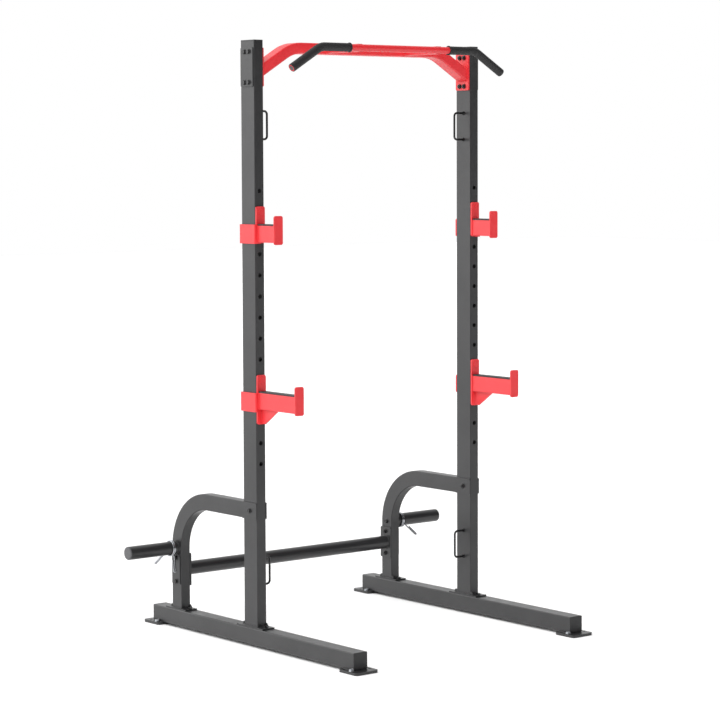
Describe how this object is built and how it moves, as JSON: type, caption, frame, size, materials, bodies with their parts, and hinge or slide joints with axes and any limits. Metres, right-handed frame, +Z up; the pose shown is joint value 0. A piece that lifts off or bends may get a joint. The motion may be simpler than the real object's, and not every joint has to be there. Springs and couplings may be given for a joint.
{
  "type": "squat rack",
  "caption": "Open steel squat rack on floor rails, with drilled uprights, hook-in bar rests and spotter arms, an arched pull-up bar, rear plate pegs and band loops.",
  "frame": {"origin": "on the floor, in the middle of the footprint", "axes": "+X to the right-hand upright as seen by a lifter's spotter facing the rack, +Y to the rear, +Z up"},
  "size_m": [1.498, 1.286, 2.171],
  "materials": {
    "black_powder_coat": "satin fine-texture powder coat",
    "red_powder_coat": "satin powder coat",
    "black_hardware": "black oxide, slightly glossy",
    "zinc_hardware": "bright zinc plate",
    "chrome_wire": "polished",
    "black_plastic": "matt moulded",
    "grey_plastic": "matt moulded",
    "black_liner": "matt polyethylene",
    "black_grip": "matt, finely textured"
  },
  "bodies": {
    "frame": {"left_base_rail": "black_powder_coat", "left_rail_front_cap": "black_plastic", "left_rail_rear_cap": "black_plastic", "left_upright": "black_powder_coat", "left_upright_cap": "black_plastic", "left_rear_support": "black_powder_coat", "left_yoke_bolt": "black_hardware", "left_upright_base_bolts": "black_hardware", "left_post_base_bolts": "black_hardware", "left_crossbar_plate": "black_powder_coat", "left_crossbar_bolts": "black_hardware", "left_plate_peg": "black_powder_coat", "left_peg_cap": "grey_plastic", "left_peg_bolt": "black_hardware", "left_top_plate": "black_powder_coat", "left_top_bolts": "black_hardware", "left_high_band_loop": "black_powder_coat", "left_low_band_loop": "black_powder_coat", "left_band_loop_nuts": "black_hardware", "left_grip": "black_grip", "left_bar_plug": "grey_plastic", "left_anchor_bolts": "zinc_hardware", "right_base_rail": "black_powder_coat", "right_rail_front_cap": "black_plastic", "right_rail_rear_cap": "black_plastic", "right_upright": "black_powder_coat", "right_upright_cap": "black_plastic", "right_rear_support": "black_powder_coat", "right_yoke_bolt": "black_hardware", "right_upright_base_bolts": "black_hardware", "right_post_base_bolts": "black_hardware", "right_crossbar_plate": "black_powder_coat", "right_crossbar_bolts": "black_hardware", "right_plate_peg": "black_powder_coat", "right_peg_cap": "grey_plastic", "right_peg_bolt": "black_hardware", "right_top_plate": "black_powder_coat", "right_top_bolts": "black_hardware", "right_high_band_loop": "black_powder_coat", "right_low_band_loop": "black_powder_coat", "right_band_loop_nuts": "black_hardware", "right_grip": "black_grip", "right_bar_plug": "grey_plastic", "right_anchor_bolts": "zinc_hardware", "rear_crossbar": "black_powder_coat", "pull_up_beam": "red_powder_coat", "pull_up_bar": "red_powder_coat"},
    "left_j_hook_body": {"left_j_hook": "red_powder_coat", "left_j_hook_pad": "black_liner"},
    "left_spotter_body": {"left_spotter_arm": "red_powder_coat", "left_spotter_arm_pad": "black_liner"},
    "left_clip_body": {"left_spring_clip": "chrome_wire"},
    "right_j_hook_body": {"right_j_hook": "red_powder_coat", "right_j_hook_pad": "black_liner"},
    "right_spotter_body": {"right_spotter_arm": "red_powder_coat", "right_spotter_arm_pad": "black_liner"},
    "right_clip_body": {"right_spring_clip": "chrome_wire"}
  },
  "joints": [
    {"name": "left_j_hook_swing", "type": "hinge", "parent": "frame", "child": "left_j_hook_body", "pos_m": [-0.509, -0.0035, 1.562], "axis": [0, 1, 0], "range_deg": [0, 90]},
    {"name": "left_spotter_swing", "type": "hinge", "parent": "frame", "child": "left_spotter_body", "pos_m": [-0.509, -0.0035, 0.962], "axis": [0, 1, 0], "range_deg": [0, 90]},
    {"name": "left_clip_slide", "type": "slide", "parent": "frame", "child": "left_clip_body", "axis": [-1, 0, 0], "range_m": [0, 0.215]},
    {"name": "right_j_hook_swing", "type": "hinge", "parent": "frame", "child": "right_j_hook_body", "pos_m": [0.509, -0.0035, 1.562], "axis": [0, -1, 0], "range_deg": [0, 90]},
    {"name": "right_spotter_swing", "type": "hinge", "parent": "frame", "child": "right_spotter_body", "pos_m": [0.509, -0.0035, 0.962], "axis": [0, -1, 0], "range_deg": [0, 90]},
    {"name": "right_clip_slide", "type": "slide", "parent": "frame", "child": "right_clip_body", "axis": [1, 0, 0], "range_m": [0, 0.215]}
  ]
}
